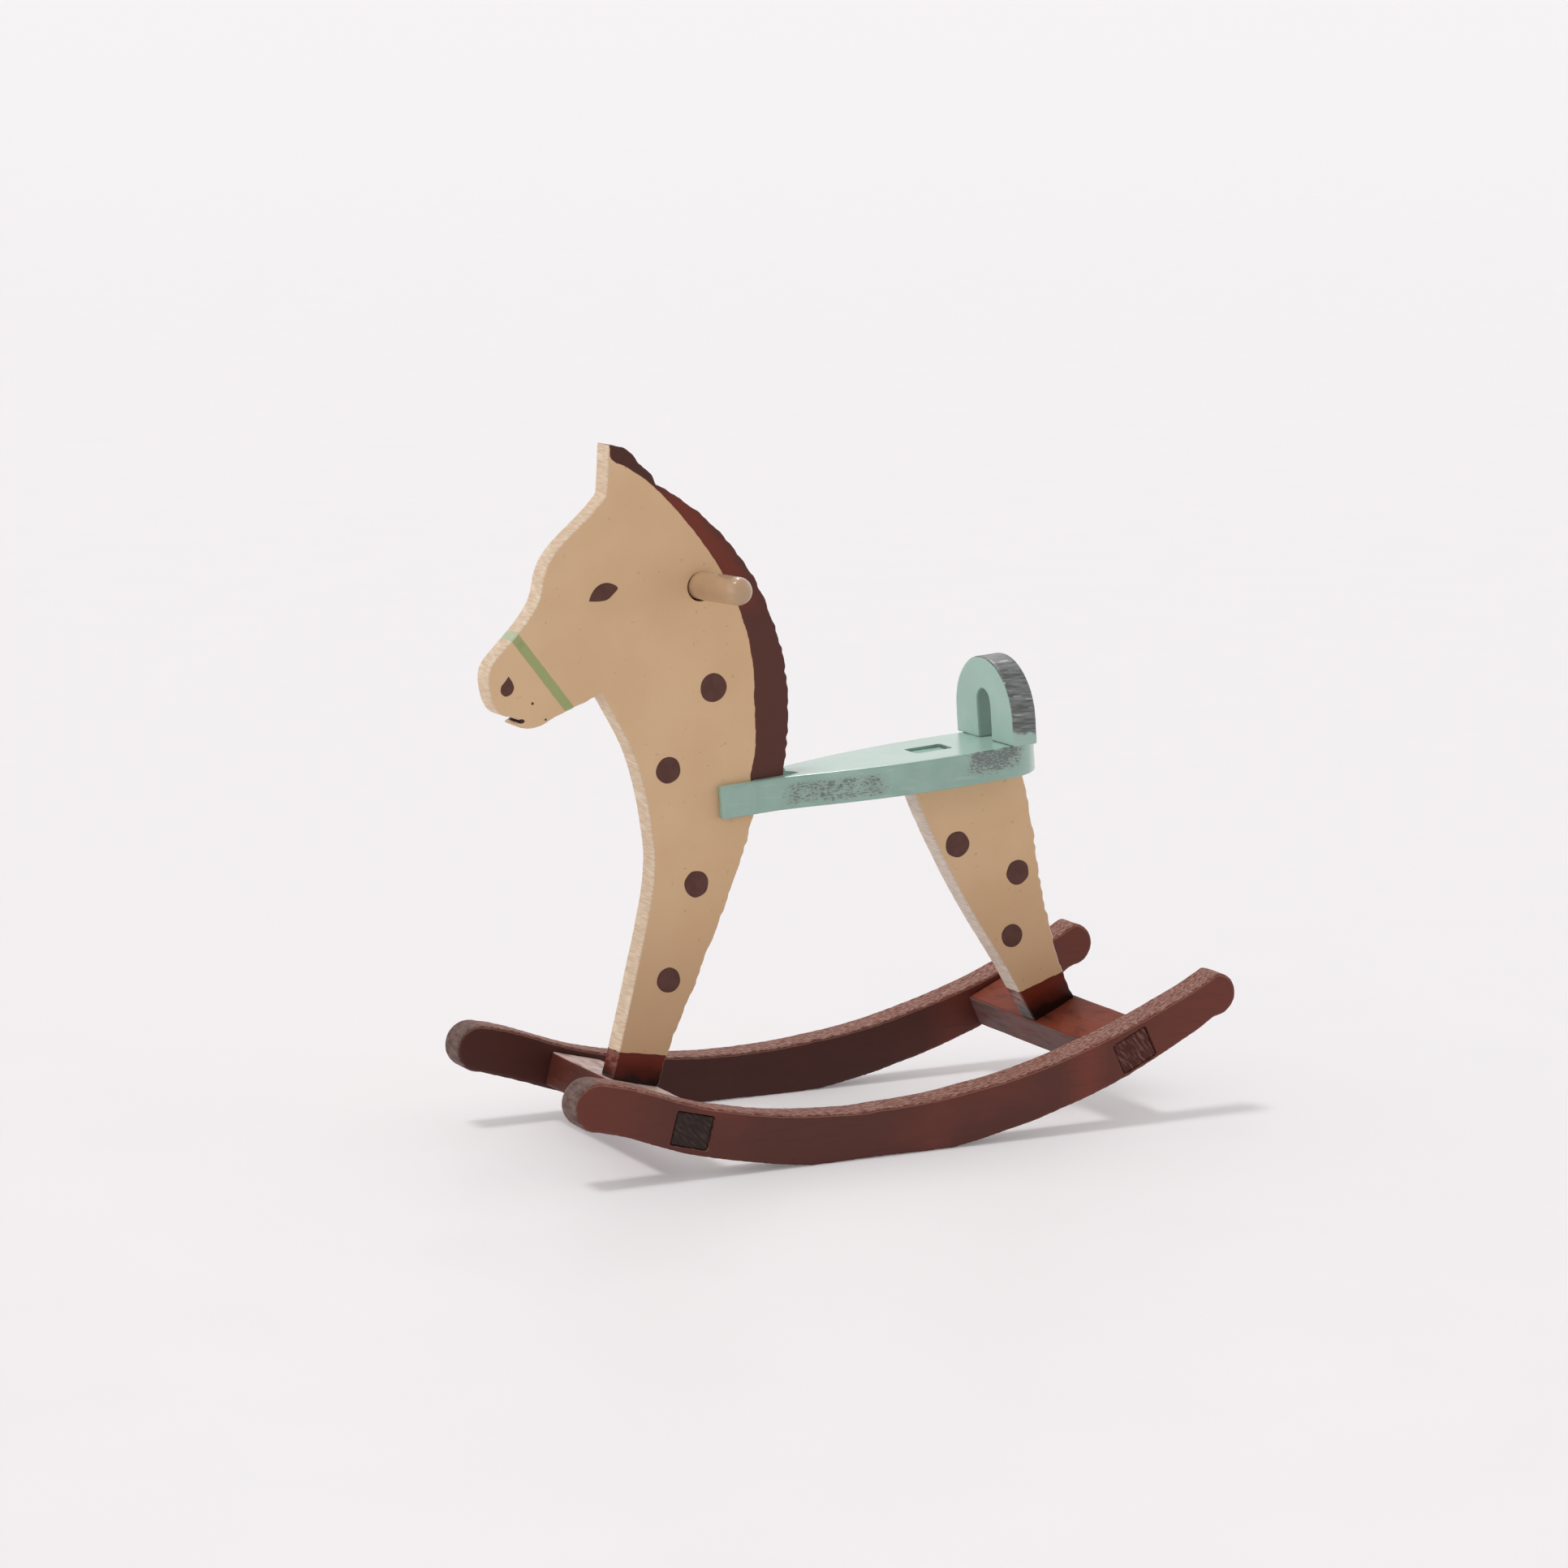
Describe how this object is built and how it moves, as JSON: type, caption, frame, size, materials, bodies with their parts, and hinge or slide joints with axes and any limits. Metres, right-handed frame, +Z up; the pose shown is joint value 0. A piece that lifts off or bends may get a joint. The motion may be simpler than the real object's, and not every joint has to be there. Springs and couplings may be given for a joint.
{
  "type": "rocking horse",
  "caption": "Small painted wooden rocking horse: flat sawn horse's head and legs, dowel handle and tapered seat with an arched back, on curved rockers joined by crossbars.",
  "frame": {"origin": "on the surface the horse stands on, under the middle of its bounding box", "axes": "+Z up; the horse faces -X; its left side is -Y; it is symmetrical about the XZ plane"},
  "size_m": [0.1375, 0.0586, 0.1269],
  "materials": {
    "cream_paint": "satin cream-beige paint on sawn plywood, edges paler, details painted in dark brown and green",
    "teal_paint": "satin grey-teal paint, rubbed through to dark grey along the edges",
    "red_brown_stain": "red-brown stain with a satin varnish, sawn edges lighter and rough"
  },
  "bodies": {
    "root": {"head_board": "cream_paint", "rear_leg": "cream_paint", "handle_dowel": "cream_paint", "seat_board": "teal_paint", "seat_back": "teal_paint", "front_crossbar": "red_brown_stain", "rear_crossbar": "red_brown_stain", "left_rocker": "red_brown_stain", "right_rocker": "red_brown_stain"}
  },
  "joints": []
}
